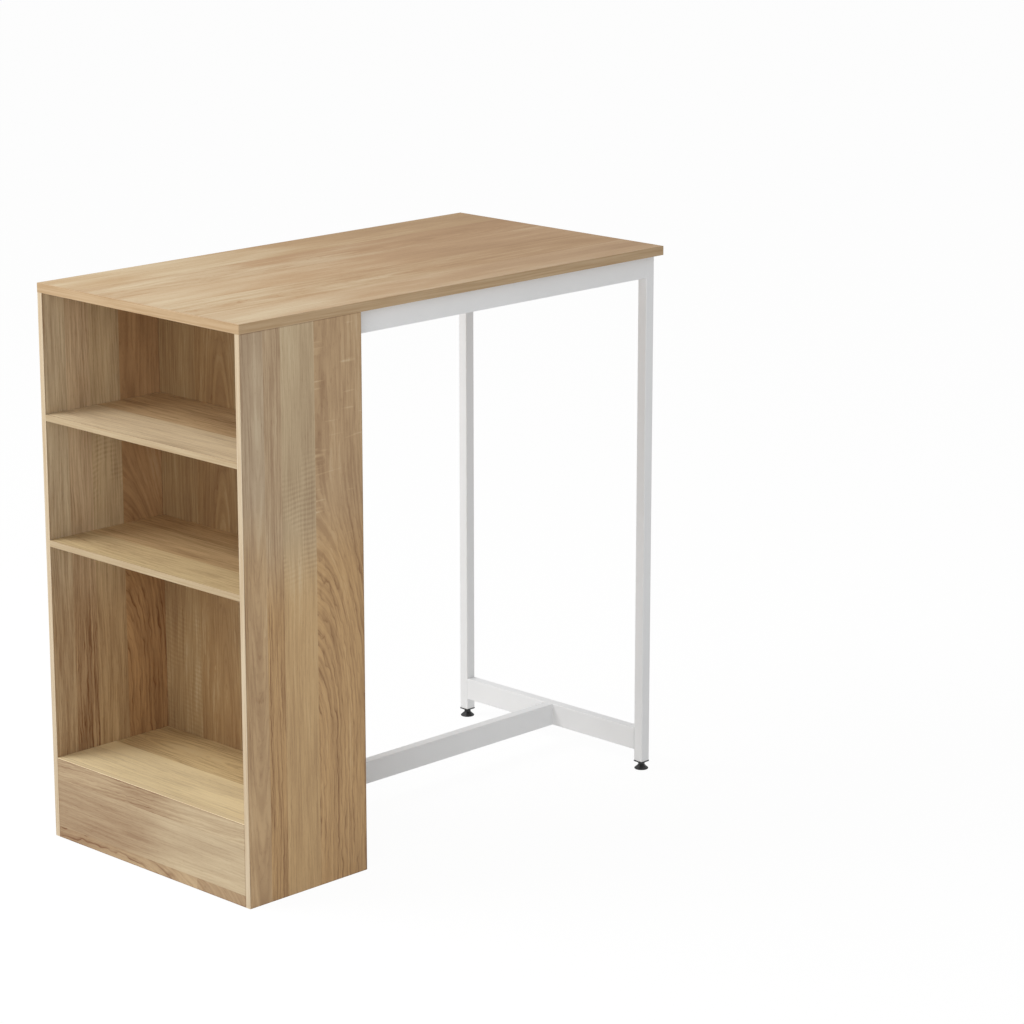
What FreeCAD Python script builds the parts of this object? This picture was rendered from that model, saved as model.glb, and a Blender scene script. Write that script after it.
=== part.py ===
import FreeCAD
import Part
import math
import os

# Bar table with a shelf cabinet at one end and a steel leg frame at the other, in millimetres.
# The origin is on the floor under the middle of the table top. +X runs from the cabinet to the
# legs, +Y from the front to the rear, and +Z up.

# Table top
table_length = 1090.0
table_depth = 560.0
table_height = 1070.0
top_thickness = 18.0

# Shelf cabinet, open towards -X
cabinet_depth = 288.0
side_thickness = 12.0
back_thickness = 15.0
shelf_thickness = 12.0
plinth_thickness = 12.0
plinth_height = 158.0
upper_bay_height = 228.0
middle_bay_height = 228.0

# Edge banding on the visible board edges
band_thickness = 1.0
band_round = 0.6

# Steel frame of square and rectangular tube
leg_width = 22.0
rail_width = 22.0
rail_height = 45.0
tube_wall = 1.2
tube_corner = 2.0
tube_inner_corner = 0.8
frame_overhang = 20.0
end_overhang = 4.0
stretcher_lift = 40.0

# Plates welded into the tube ends, and the bolts that hold them
plate_thickness = 4.0
weld_gap = 0.1
frame_bolt_radius = 3.0
frame_bolt_head_radius = 6.0
frame_bolt_head_height = 3.4
frame_bolt_socket = 4.0
frame_bolt_socket_depth = 2.2
frame_bolt_spacing = 24.0
frame_bolt_past_plate = 3.0
bolt_hole_clearance = 0.25
thread_clearance = 0.05
washer_radius = 8.0
washer_thickness = 1.5
access_hole_radius = 6.5
cap_flange_radius = 8.0
cap_flange_thickness = 1.2
cap_plug_depth = 4.0
cap_plug_wall = 1.0
cap_clearance = 0.1

# Tabs under the top, welded to the rails
tab_length = 32.0
tab_reach = 18.0
tab_thickness = 2.0
tab_corner = 4.0
tab_end_inset = 194.0
cross_tab_offset = 130.0
tab_screw_radius = 2.0
tab_screw_head_radius = 4.0
tab_screw_head_height = 2.4
tab_screw_skin = 4.0

# Cam fittings and dowels between the boards
cam_radius = 6.0
cam_skin = 2.0
cam_clearance = 0.1
cam_setback = 24.0
cam_mouth_past_centre = 2.5
cam_cross_length = 7.0
cam_cross_width = 1.4
cam_cross_depth = 1.6
cam_bolt_thread_radius = 2.5
cam_bolt_shank_radius = 3.0
cam_bolt_neck_radius = 1.75
cam_bolt_head_radius = 2.75
cam_bolt_neck_length = 2.5
cam_bolt_head_length = 3.0
cam_bolt_past_centre = 1.5
cam_bolt_skin = 3.0
cam_bolt_clearance = 0.2
cover_radius = 7.5
cover_thickness = 0.6
dowel_radius = 3.0
dowel_chamfer = 0.8
dowel_skin = 4.0
dowel_reach = 20.0
dowel_clearance = 0.05
shelf_cam_inset = 45.0
top_cam_front_inset = 100.0
top_cam_rear_inset = 58.0
top_cam_back_offset = 150.0
back_cam_drop = 112.0

# Levelling feet: a ribbed tube insert, a threaded stud and a pad that turns on it
insert_flange = 2.4
insert_flange_lip = 0.6
insert_depth = 24.0
insert_core_gap = 1.1
insert_rib_count = 4
insert_rib_thickness = 1.6
insert_clearance = 0.1
bush_radius = 6.2
bush_length = 14.0
bush_lip = 3.0
stud_radius = 4.0
stud_length = 34.0
stud_point = 1.0
stud_collar_flats = 12.0
stud_collar_height = 3.0
stud_disc_radius = 6.0
stud_disc_thickness = 2.6
stud_disc_height = 2.8
foot_screw_in = 2.5
foot_clearance = 0.08
foot_running_gap = 0.3
pad_radius = 14.2
pad_height = 9.4
pad_rim_height = 3.0
pad_rim_round = 1.4
pad_neck_radius = 6.6
pad_neck_height = 1.4
pad_flare_hollow = 1.1
pad_recess_radius = 9.0
pad_recess_depth = 0.8

# How near two faces lie that count as one
touching = 0.01

X = FreeCAD.Vector(1, 0, 0)
Y = FreeCAD.Vector(0, 1, 0)
Z = FreeCAD.Vector(0, 0, 1)

# Places worked out from the sizes above
front_x = -table_length / 2
cabinet_back = front_x + cabinet_depth
back_inside = cabinet_back - back_thickness
outer_y = table_depth / 2
inner_y = outer_y - side_thickness
top_underside = table_height - top_thickness
upper_shelf_z = top_underside - upper_bay_height - shelf_thickness
middle_shelf_z = upper_shelf_z - middle_bay_height - shelf_thickness
bottom_shelf_z = plinth_height - shelf_thickness
frame_y = outer_y - frame_overhang
leg_face = table_length / 2 - end_overhang - leg_width
leg_x = leg_face + leg_width / 2
leg_y = frame_y - leg_width / 2
rail_y = frame_y - rail_width / 2
top_rail_z = top_underside - rail_height / 2
stretcher_z = stretcher_lift + rail_height / 2
cross_rail_x = leg_face + rail_width / 2
cam_board = min(side_thickness, back_thickness, shelf_thickness, plinth_thickness)
cam_axis_depth = cam_board / 2
cam_height = cam_board - cam_skin
cam_bolt_thread = min(side_thickness, top_thickness) - cam_bolt_skin
dowel_seat = min(side_thickness, top_thickness) - dowel_skin
plinth_cam_z = plinth_height * 2 / 3
plinth_dowel_z = plinth_height / 3
back_cam_zs = (plinth_cam_z, (plinth_height + middle_shelf_z) / 2, top_underside - back_cam_drop)
back_dowel_zs = [(low + high) / 2 for low, high in zip(back_cam_zs, back_cam_zs[1:])]
band_ease = min(band_round, band_thickness - touching)
collar_base = pad_height + foot_running_gap
collar_top = collar_base + stud_collar_height
foot_height = collar_top + foot_running_gap + foot_screw_in + insert_flange

holes = {}
cam_locks = []
cam_bolts = []
cam_covers = []
wood_dowels = []


def at(x, y, z):
    return FreeCAD.Vector(x, y, z)


def block(x_low, x_high, y_low, y_high, z_low, z_high):
    return Part.makeBox(x_high - x_low, y_high - y_low, z_high - z_low, at(x_low, y_low, z_low))


def slab(centre, u, v, w, size_u, size_v, size_w):
    # a box about its centre, on any three square directions
    corner = centre - u * (size_u / 2) - v * (size_v / 2) - w * (size_w / 2)
    across = u * size_u
    along = v * size_v
    points = [corner, corner + across, corner + across + along, corner + along, corner]
    return Part.Face(Part.makePolygon(points)).extrude(w * size_w)


def rod(start, direction, radius, length):
    return Part.makeCylinder(radius, length, start, direction)


def turned(outline, start, direction):
    # a closed outline of (radius, height) corners, turned about the axis
    points = [at(radius, 0, height) for radius, height in outline]
    face = Part.Face(Part.makePolygon(points + points[:1]))
    return aimed(face.revolve(at(0, 0, 0), Z, 360), start, direction)


def aimed(solid, start, direction):
    solid.Placement = FreeCAD.Placement(start, FreeCAD.Rotation(Z, direction))
    return solid


def hexagon(start, direction, across_flats, height):
    corner_radius = across_flats / math.sqrt(3)
    angles = [math.radians(60 * corner) for corner in range(6)]
    points = [at(corner_radius * math.cos(a), corner_radius * math.sin(a), 0) for a in angles]
    face = Part.Face(Part.makePolygon(points + points[:1]))
    return aimed(face.extrude(Z * height), start, direction)


def rounded_bar(start, direction, across, width, height, corner, length):
    # a bar with a rounded rectangular section, its width along "across"
    up = direction.cross(across)
    flat_u = across * (width / 2 - corner)
    flat_v = up * (height / 2 - corner)
    centres = [start + flat_u + flat_v, start - flat_u + flat_v]
    centres += [start - flat_u - flat_v, start + flat_u - flat_v]
    arcs = []
    for quarter, centre in enumerate(centres):
        turns = [math.radians(90 * quarter + step) for step in (0, 45, 90)]
        points = [centre + (across * math.cos(t) + up * math.sin(t)) * corner for t in turns]
        arcs.append(points)
    edges = []
    for points, following in zip(arcs, arcs[1:] + arcs[:1]):
        edges.append(Part.Arc(*points).toShape())
        edges.append(Part.LineSegment(points[-1], following[0]).toShape())
    return Part.Face(Part.Wire(edges)).extrude(direction * length)


def tube(start, direction, across, width, height, length):
    outside = rounded_bar(start, direction, across, width, height, tube_corner, length)
    bore_width = width - 2 * tube_wall
    bore_height = height - 2 * tube_wall
    bore_corner = tube_inner_corner
    return outside.cut(rounded_bar(start, direction, across, bore_width, bore_height, bore_corner, length))


def eased(solid, along, outward, radius):
    # rounds the edges that run along one direction on the outermost side
    level = max(vertex.Point.dot(outward) for vertex in solid.Vertexes)
    edges = [
        edge
        for edge in solid.Edges
        if edge.tangentAt(edge.FirstParameter).cross(along).Length < touching
        and level - edge.CenterOfMass.dot(outward) < touching
    ]
    return solid.makeFillet(radius, edges)


def bore(board, start, direction, radius, length):
    holes.setdefault(board, []).append(rod(start, direction, radius, length))


def drilled(board, solid):
    return solid.cut(holes[board]) if board in holes else solid


# Fittings that hold the boards together

def cam_bolt(seam, inward):
    shank_end = cam_setback + cam_bolt_past_centre - cam_bolt_head_length - cam_bolt_neck_length
    neck_end = shank_end + cam_bolt_neck_length
    head_end = neck_end + cam_bolt_head_length
    outline = [
        (0, -cam_bolt_thread),
        (cam_bolt_thread_radius, -cam_bolt_thread),
        (cam_bolt_thread_radius, 0),
        (cam_bolt_shank_radius, 0),
        (cam_bolt_shank_radius, shank_end),
        (cam_bolt_neck_radius, shank_end),
        (cam_bolt_neck_radius, neck_end),
        (cam_bolt_head_radius, neck_end),
        (cam_bolt_head_radius, head_end),
        (0, head_end),
    ]
    return turned(outline, seam, inward)


def cam_lock(face, outward, inward):
    # a round cam, its mouth towards the bolt and a cross recess in its visible end
    body = rod(face - outward * cam_height, outward, cam_radius, cam_height)
    mouth_start = face - outward * cam_axis_depth - inward * (cam_radius + cam_clearance)
    mouth_length = cam_radius + cam_clearance + cam_mouth_past_centre
    mouth = rod(mouth_start, inward, cam_bolt_shank_radius + cam_bolt_clearance, mouth_length)
    sideways = outward.cross(inward)
    recess = face - outward * (cam_cross_depth / 2)
    cross = [
        slab(recess, inward, sideways, outward, cam_cross_length, cam_cross_width, cam_cross_depth),
        slab(recess, inward, sideways, outward, cam_cross_width, cam_cross_length, cam_cross_depth),
    ]
    return body.cut([mouth] + cross)


def cam_joint(bolt_board, cam_board_name, seam, inward, outward, covered):
    # the bolt is screwed into one board, and the cam in the other board's face pulls on its head
    face = seam + inward * cam_setback + outward * cam_axis_depth
    bore(cam_board_name, face, -outward, cam_radius + cam_clearance, cam_height + cam_clearance)
    bore(cam_board_name, seam, inward, cam_bolt_shank_radius + cam_bolt_clearance, cam_setback)
    bolt_hole = cam_bolt_thread_radius + thread_clearance
    bore(bolt_board, seam, -inward, bolt_hole, cam_bolt_thread + thread_clearance)
    cam_bolts.append(cam_bolt(seam, inward))
    cam_locks.append(cam_lock(face, outward, inward))
    if covered:
        cam_covers.append(rod(face, outward, cover_radius, cover_thickness))


def dowel_joint(seat_board, reach_board, seam, inward):
    hole_radius = dowel_radius + dowel_clearance
    bore(seat_board, seam, -inward, hole_radius, dowel_seat + dowel_clearance)
    bore(reach_board, seam, inward, hole_radius, dowel_reach + dowel_clearance)
    tip = dowel_radius - dowel_chamfer
    outline = [
        (0, -dowel_seat),
        (tip, -dowel_seat),
        (dowel_radius, dowel_chamfer - dowel_seat),
        (dowel_radius, dowel_reach - dowel_chamfer),
        (tip, dowel_reach),
        (0, dowel_reach),
    ]
    wood_dowels.append(turned(outline, seam, inward))


sides = {"front_side_panel": -1, "rear_side_panel": 1}


def join_shelf(shelf, shelf_z, shelf_front):
    # cams in the underside of the shelf, with a dowel between them, at both ends
    cam_xs = (shelf_front + shelf_cam_inset, back_inside - shelf_cam_inset)
    for panel, side in sides.items():
        for cam_x in cam_xs:
            seam = at(cam_x, side * inner_y, shelf_z + cam_axis_depth)
            cam_joint(panel, shelf, seam, Y * -side, -Z, False)
        middle = at(sum(cam_xs) / 2, side * inner_y, shelf_z + shelf_thickness / 2)
        dowel_joint(panel, shelf, middle, Y * -side)


def join_plinth():
    for panel, side in sides.items():
        cam_x = front_x + plinth_thickness - cam_axis_depth
        cam_joint(panel, "plinth_board", at(cam_x, side * inner_y, plinth_cam_z), Y * -side, X, False)
        dowel_x = front_x + plinth_thickness / 2
        dowel_joint(panel, "plinth_board", at(dowel_x, side * inner_y, plinth_dowel_z), Y * -side)


def join_back_panel():
    # the cams face the legs, so that none shows on the shelves
    for panel, side in sides.items():
        for height in back_cam_zs:
            seam = at(cabinet_back - cam_axis_depth, side * inner_y, height)
            cam_joint(panel, "back_panel", seam, Y * -side, X, True)
        for height in back_dowel_zs:
            seam = at(cabinet_back - back_thickness / 2, side * inner_y, height)
            dowel_joint(panel, "back_panel", seam, Y * -side)


def join_top():
    # bolts in the underside of the top, cams inside the side panels and outside the back panel
    cam_xs = (front_x + top_cam_front_inset, cabinet_back - top_cam_rear_inset)
    for panel, side in sides.items():
        for cam_x in cam_xs:
            seam = at(cam_x, side * (inner_y + cam_axis_depth), top_underside)
            cam_joint("tabletop", panel, seam, -Z, Y * -side, True)
        middle = at(sum(cam_xs) / 2, side * (inner_y + side_thickness / 2), top_underside)
        dowel_joint("tabletop", panel, middle, -Z)
        seam = at(cabinet_back - cam_axis_depth, side * top_cam_back_offset, top_underside)
        cam_joint("tabletop", "back_panel", seam, -Z, X, True)
    dowel_joint("tabletop", "back_panel", at(cabinet_back - back_thickness / 2, 0, top_underside), -Z)


# Bolts, plates and tabs of the steel frame

def frame_bolt(seat, direction, length):
    # a button-head bolt with a hexagon socket, seated on the underside of its head
    dome = frame_bolt_head_height / 2
    outline = [
        (0, -frame_bolt_head_height),
        (frame_bolt_head_radius - dome, -frame_bolt_head_height),
        (frame_bolt_head_radius, -dome),
        (frame_bolt_head_radius, 0),
        (frame_bolt_radius, 0),
        (frame_bolt_radius, length),
        (0, length),
    ]
    socket_start = seat - direction * frame_bolt_head_height
    socket = hexagon(socket_start, direction, frame_bolt_socket, frame_bolt_socket_depth)
    return turned(outline, seat, direction).cut(socket)


def washer(seat, direction):
    ring = rod(seat, direction, washer_radius, washer_thickness)
    return ring.cut(rod(seat, direction, frame_bolt_radius + bolt_hole_clearance, washer_thickness))


def end_plate(end, direction):
    # fits the bore of a rail, flush with its end, and is tapped for two bolts
    width = rail_width - 2 * (tube_wall + weld_gap)
    height = rail_height - 2 * (tube_wall + weld_gap)
    corner = tube_inner_corner + weld_gap
    plate = rounded_bar(end, direction, Y, width, height, corner, plate_thickness)
    tapped = frame_bolt_radius + thread_clearance
    taps = [rod(end + Z * step, direction, tapped, plate_thickness) for step in bolt_steps]
    return plate.cut(taps)


def hole_cap(face, outward):
    # a plastic plug that closes an access hole, open on its inner end
    plug_radius = access_hole_radius - cap_clearance
    outline = [
        (0, cap_flange_thickness),
        (cap_flange_radius - cap_flange_thickness / 2, cap_flange_thickness),
        (cap_flange_radius, cap_flange_thickness / 2),
        (cap_flange_radius, 0),
        (plug_radius, 0),
        (plug_radius, -cap_plug_depth),
        (plug_radius - cap_plug_wall, -cap_plug_depth),
        (plug_radius - cap_plug_wall, 0),
        (0, 0),
    ]
    return turned(outline, face, outward)


def fixing_tab(root, reach):
    # a welded tab, square on the rail and rounded at its free end, with a hole for a screw
    along = Z.cross(reach)
    middle = root + reach * (tab_reach / 2) - Z * (tab_thickness / 2)
    tab = slab(middle, along, reach, Z, tab_length, tab_reach, tab_thickness)
    tab = eased(tab, Z, reach, tab_corner)
    screw_start = root + reach * (tab_reach / 2) - Z * tab_thickness
    return tab.cut(rod(screw_start, Z, tab_screw_radius + bolt_hole_clearance, tab_thickness))


def tab_screw(seat, length):
    # a pan-head wood screw that points up
    dome = tab_screw_head_height / 2
    outline = [
        (0, -tab_screw_head_height),
        (tab_screw_head_radius - dome, -tab_screw_head_height),
        (tab_screw_head_radius, -dome),
        (tab_screw_head_radius, 0),
        (tab_screw_radius, 0),
        (tab_screw_radius, length - tab_screw_radius),
        (0, length),
    ]
    return turned(outline, seat, Z)


bolt_steps = (-frame_bolt_spacing / 2, frame_bolt_spacing / 2)
members = {
    "front_top_rail": at(cabinet_back, -rail_y, top_rail_z),
    "rear_top_rail": at(cabinet_back, rail_y, top_rail_z),
    "foot_stretcher": at(cabinet_back, 0, stretcher_z),
}
carriers = {"front_top_rail": "front_leg", "rear_top_rail": "rear_leg", "foot_stretcher": "lower_cross_rail"}
carrier_widths = {"front_leg": leg_width, "rear_leg": leg_width, "lower_cross_rail": rail_width}


def join_frame():
    # each rail is bolted to the cabinet's back panel and, at its far end, to a leg or cross rail
    plates = []
    cabinet_bolts = []
    washers = []
    leg_bolts = []
    caps = []
    cabinet_bolt_length = washer_thickness + back_thickness + plate_thickness + frame_bolt_past_plate
    leg_bolt_length = tube_wall + plate_thickness + frame_bolt_past_plate
    loose = frame_bolt_radius + bolt_hole_clearance
    for member, near_end in members.items():
        far_end = at(leg_face, near_end.y, near_end.z)
        plates += [end_plate(near_end, X), end_plate(far_end, -X)]
        carrier = carriers[member]
        far_wall = leg_face + carrier_widths[carrier] - tube_wall
        for step in bolt_steps:
            inside = at(back_inside, near_end.y, near_end.z + step)
            bore("back_panel", inside, X, loose, back_thickness)
            washers.append(washer(inside, -X))
            cabinet_bolts.append(frame_bolt(inside - X * washer_thickness, X, cabinet_bolt_length))
            bolt_place = far_end + Z * step
            bore(carrier, bolt_place, X, loose, tube_wall)
            access = at(far_wall, bolt_place.y, bolt_place.z)
            bore(carrier, access, X, access_hole_radius, tube_wall)
            leg_bolts.append(frame_bolt(bolt_place + X * tube_wall, -X, leg_bolt_length))
            caps.append(hole_cap(access + X * tube_wall, X))
    return plates, cabinet_bolts, washers, leg_bolts, caps


def fix_top():
    # tabs on the inner faces of the top rails and the upper cross rail, screwed to the top
    inner_face = rail_y - rail_width / 2
    spots = []
    for tab_x in (cabinet_back + tab_end_inset, leg_face - tab_end_inset):
        spots += [(at(tab_x, -inner_face, top_underside), Y), (at(tab_x, inner_face, top_underside), -Y)]
    for offset in (-cross_tab_offset, cross_tab_offset):
        spots.append((at(leg_face, offset, top_underside), -X))
    screw_bite = top_thickness - tab_screw_skin
    tabs = []
    screws = []
    for root, reach in spots:
        tabs.append(fixing_tab(root, reach))
        hole = root + reach * (tab_reach / 2)
        screws.append(tab_screw(hole - Z * tab_thickness, tab_thickness + screw_bite))
        bore("tabletop", hole, Z, tab_screw_radius + thread_clearance, screw_bite + thread_clearance)
    return tabs, screws


# Boards of the cabinet and the top

def tabletop():
    core_x = table_length / 2 - band_thickness
    core_y = outer_y - band_thickness
    return drilled("tabletop", block(-core_x, core_x, -core_y, core_y, top_underside, table_height))


def tabletop_edge_bands():
    # the long bands cover the ends of the short ones
    core_x = table_length / 2 - band_thickness
    core_y = outer_y - band_thickness
    end_x = table_length / 2
    bands = []
    for side in (-1, 1):
        low_y, high_y = sorted((side * core_y, side * outer_y))
        long_band = block(-end_x, end_x, low_y, high_y, top_underside, table_height)
        bands.append(eased(long_band, X, Y * side, band_ease))
        low_x, high_x = sorted((side * core_x, side * end_x))
        short_band = block(low_x, high_x, -core_y, core_y, top_underside, table_height)
        bands.append(eased(short_band, Y, X * side, band_ease))
    return Part.makeCompound(bands)


def side_panel(panel):
    side = sides[panel]
    low_y, high_y = sorted((side * inner_y, side * outer_y))
    core = block(front_x + band_thickness, cabinet_back - band_thickness, low_y, high_y, 0, top_underside)
    return drilled(panel, core)


def upright_band(edge_x, inward, side):
    # a band up the full height of a side panel's edge, both arrises eased
    low_x, high_x = sorted((edge_x, edge_x + inward * band_thickness))
    low_y, high_y = sorted((side * inner_y, side * outer_y))
    band = block(low_x, high_x, low_y, high_y, 0, top_underside)
    return eased(band, Z, X * -inward, band_ease)


def side_panel_edge_bands():
    bands = []
    for side in sides.values():
        bands += [upright_band(front_x, 1, side), upright_band(cabinet_back, -1, side)]
    return Part.makeCompound(bands)


def back_panel():
    board = block(back_inside, cabinet_back, -inner_y, inner_y, 0, top_underside)
    return drilled("back_panel", board)


def shelf(name, shelf_z, shelf_front):
    board = block(shelf_front, back_inside, -inner_y, inner_y, shelf_z, shelf_z + shelf_thickness)
    return drilled(name, board)


def shelf_edge_bands():
    bands = []
    for shelf_z in (upper_shelf_z, middle_shelf_z):
        top_z = shelf_z + shelf_thickness
        band = block(front_x, front_x + band_thickness, -inner_y, inner_y, shelf_z, top_z)
        bands.append(eased(band, Y, -X, band_ease))
    return Part.makeCompound(bands)


def plinth_board():
    core_top = plinth_height - band_thickness
    board = block(front_x, front_x + plinth_thickness, -inner_y, inner_y, 0, core_top)
    return drilled("plinth_board", board)


def plinth_edge_band():
    low_z = plinth_height - band_thickness
    band = block(front_x, front_x + plinth_thickness, -inner_y, inner_y, low_z, plinth_height)
    return eased(band, Y, Z - X, band_ease)


# Tubes of the steel frame

def leg(name, side):
    start = at(leg_x, side * leg_y, foot_height)
    return drilled(name, tube(start, Z, X, leg_width, leg_width, top_underside - foot_height))


def cross_rail(name, middle_z):
    clear = leg_y - leg_width / 2
    start = at(cross_rail_x, -clear, middle_z)
    return drilled(name, tube(start, Y, X, rail_width, rail_height, 2 * clear))


def long_rail(name):
    return drilled(name, tube(members[name], X, Y, rail_width, rail_height, leg_face - cabinet_back))


# Levelling feet

def leg_insert(side):
    # a flange under the tube, a square core with thin ribs that grip the tube, and a bush inside
    centre = at(leg_x, side * leg_y, foot_height)
    bore_width = leg_width - 2 * tube_wall
    rib_width = bore_width - 2 * insert_clearance
    core_width = bore_width - 2 * insert_core_gap
    rib_corner = tube_inner_corner + insert_clearance
    flange_width = leg_width + 2 * insert_flange_lip
    flange_corner = tube_corner + insert_flange_lip
    flange = rounded_bar(centre, -Z, X, flange_width, flange_width, flange_corner, insert_flange)
    pieces = [rounded_bar(centre, Z, X, core_width, core_width, rib_corner, insert_depth)]
    pitch = insert_depth / insert_rib_count
    for rib in range(insert_rib_count):
        rib_base = centre + Z * (pitch * (rib + 1) - insert_rib_thickness)
        rib_shape = rounded_bar(rib_base, Z, X, rib_width, rib_width, rib_corner, insert_rib_thickness)
        pieces.append(rib_shape)
    solid = flange.fuse(pieces).removeSplitter()
    through = insert_flange + insert_depth
    pocket = rod(centre + Z * bush_lip, Z, bush_radius + insert_clearance, bush_length)
    return solid.cut([rod(centre - Z * insert_flange, Z, stud_radius + bolt_hole_clearance, through), pocket])


def insert_bush(side):
    start = at(leg_x, side * leg_y, foot_height + bush_lip)
    bush = rod(start, Z, bush_radius, bush_length)
    return bush.cut(rod(start, Z, stud_radius + foot_clearance, bush_length))


def foot_stud(side):
    # a threaded stud with a hexagon collar for a spanner and a disc that the pad turns on
    axis = at(leg_x, side * leg_y, 0)
    disc_top = stud_disc_height + stud_disc_thickness
    tip = collar_top + stud_length
    outline = [
        (0, stud_disc_height),
        (stud_disc_radius, stud_disc_height),
        (stud_disc_radius, disc_top),
        (stud_radius, disc_top),
        (stud_radius, tip - stud_point),
        (stud_radius - stud_point, tip),
        (0, tip),
    ]
    collar = hexagon(axis + Z * collar_base, Z, stud_collar_flats, stud_collar_height)
    return turned(outline, axis, Z).fuse(collar).removeSplitter()


def foot_pad(side):
    # a round pad whose flared flank is an arc, with a socket for the stud's disc
    axis = at(leg_x, side * leg_y, 0)
    flare_top = pad_height - pad_neck_height
    rim = at(pad_radius, 0, pad_rim_height)
    shoulder = at(pad_radius - pad_rim_round, 0, pad_rim_height + pad_rim_round)
    neck = at(pad_neck_radius, 0, flare_top)
    square = (neck - shoulder).cross(Y).normalize()
    hollow = (shoulder + neck) / 2 + square * pad_flare_hollow
    lip = stud_radius + foot_clearance
    socket_radius = stud_disc_radius + foot_clearance
    socket_low = stud_disc_height - foot_clearance
    socket_high = stud_disc_height + stud_disc_thickness + foot_clearance
    corner = math.cos(math.radians(45)) * pad_rim_round
    crown = at(pad_radius - pad_rim_round + corner, 0, pad_rim_height + corner)
    straight = [
        (pad_neck_radius, flare_top),
        (pad_neck_radius, pad_height),
        (lip, pad_height),
        (lip, socket_high),
        (socket_radius, socket_high),
        (socket_radius, socket_low),
        (0, socket_low),
        (0, pad_recess_depth),
        (pad_recess_radius, pad_recess_depth),
        (pad_recess_radius + pad_recess_depth, 0),
        (pad_radius - pad_rim_round, 0),
        (pad_radius, pad_rim_round),
        (pad_radius, pad_rim_height),
    ]
    edges = [Part.Arc(rim, crown, shoulder).toShape(), Part.Arc(shoulder, hollow, neck).toShape()]
    points = [at(radius, 0, height) for radius, height in straight]
    edges += [Part.LineSegment(a, b).toShape() for a, b in zip(points, points[1:])]
    solid = Part.Face(Part.Wire(edges)).revolve(at(0, 0, 0), Z, 360)
    return aimed(solid, axis, Z)


def build():
    join_shelf("upper_shelf", upper_shelf_z, front_x)
    join_shelf("middle_shelf", middle_shelf_z, front_x)
    join_shelf("bottom_shelf", bottom_shelf_z, front_x + plinth_thickness)
    join_plinth()
    join_back_panel()
    join_top()
    plates, cabinet_bolts, washers, leg_bolts, caps = join_frame()
    tabs, screws = fix_top()
    banded_front = front_x + band_thickness
    return {
        "tabletop": tabletop(),
        "tabletop_edge_bands": tabletop_edge_bands(),
        "front_side_panel": side_panel("front_side_panel"),
        "rear_side_panel": side_panel("rear_side_panel"),
        "side_panel_edge_bands": side_panel_edge_bands(),
        "back_panel": back_panel(),
        "upper_shelf": shelf("upper_shelf", upper_shelf_z, banded_front),
        "middle_shelf": shelf("middle_shelf", middle_shelf_z, banded_front),
        "bottom_shelf": shelf("bottom_shelf", bottom_shelf_z, front_x + plinth_thickness),
        "shelf_edge_bands": shelf_edge_bands(),
        "plinth_board": plinth_board(),
        "plinth_edge_band": plinth_edge_band(),
        "front_leg": leg("front_leg", -1),
        "rear_leg": leg("rear_leg", 1),
        "upper_cross_rail": cross_rail("upper_cross_rail", top_rail_z),
        "lower_cross_rail": cross_rail("lower_cross_rail", stretcher_z),
        "front_top_rail": long_rail("front_top_rail"),
        "rear_top_rail": long_rail("rear_top_rail"),
        "foot_stretcher": long_rail("foot_stretcher"),
        "rail_end_plates": Part.makeCompound(plates),
        "cabinet_frame_bolts": Part.makeCompound(cabinet_bolts),
        "cabinet_bolt_washers": Part.makeCompound(washers),
        "leg_frame_bolts": Part.makeCompound(leg_bolts),
        "bolt_hole_caps": Part.makeCompound(caps),
        "top_fixing_tabs": Part.makeCompound(tabs),
        "top_fixing_screws": Part.makeCompound(screws),
        "cam_locks": Part.makeCompound(cam_locks),
        "cam_bolts": Part.makeCompound(cam_bolts),
        "cam_covers": Part.makeCompound(cam_covers),
        "wood_dowels": Part.makeCompound(wood_dowels),
        "front_leg_insert": leg_insert(-1),
        "rear_leg_insert": leg_insert(1),
        "front_insert_bush": insert_bush(-1),
        "rear_insert_bush": insert_bush(1),
        "front_foot_stud": foot_stud(-1),
        "rear_foot_stud": foot_stud(1),
        "front_foot_pad": foot_pad(-1),
        "rear_foot_pad": foot_pad(1),
    }


os.makedirs("parts", exist_ok=True)
for node, shape in build().items():
    shape.exportStep(os.path.join("parts", node + ".step"))
    print(node, len(shape.Solids), "solids", round(shape.Volume / 1000, 2), "cm3", shape.isValid())
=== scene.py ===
import math

import bpy
import numpy as np
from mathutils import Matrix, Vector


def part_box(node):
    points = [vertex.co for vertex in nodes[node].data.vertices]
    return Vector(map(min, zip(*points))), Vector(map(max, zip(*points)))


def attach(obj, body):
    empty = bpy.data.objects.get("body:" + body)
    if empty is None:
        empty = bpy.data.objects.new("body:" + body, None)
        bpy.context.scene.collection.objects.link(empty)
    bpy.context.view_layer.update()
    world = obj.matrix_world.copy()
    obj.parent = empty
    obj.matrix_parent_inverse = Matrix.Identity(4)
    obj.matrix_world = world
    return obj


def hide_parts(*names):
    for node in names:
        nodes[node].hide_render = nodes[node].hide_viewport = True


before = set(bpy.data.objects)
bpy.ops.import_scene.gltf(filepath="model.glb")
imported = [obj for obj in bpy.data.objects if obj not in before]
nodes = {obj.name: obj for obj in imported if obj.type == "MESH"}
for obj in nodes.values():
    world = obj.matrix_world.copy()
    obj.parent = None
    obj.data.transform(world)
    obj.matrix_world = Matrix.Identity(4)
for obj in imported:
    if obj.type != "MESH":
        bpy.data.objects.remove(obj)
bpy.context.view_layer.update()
scene = bpy.context.scene
scene.view_settings.view_transform = "Standard"
print("frame loaded:", len(nodes), "nodes")

# Tools for materials
mm = 1000.0    # in a metre
srgb = dict(knee=0.04045, slope=12.92, offset=0.055, power=2.4)


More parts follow.
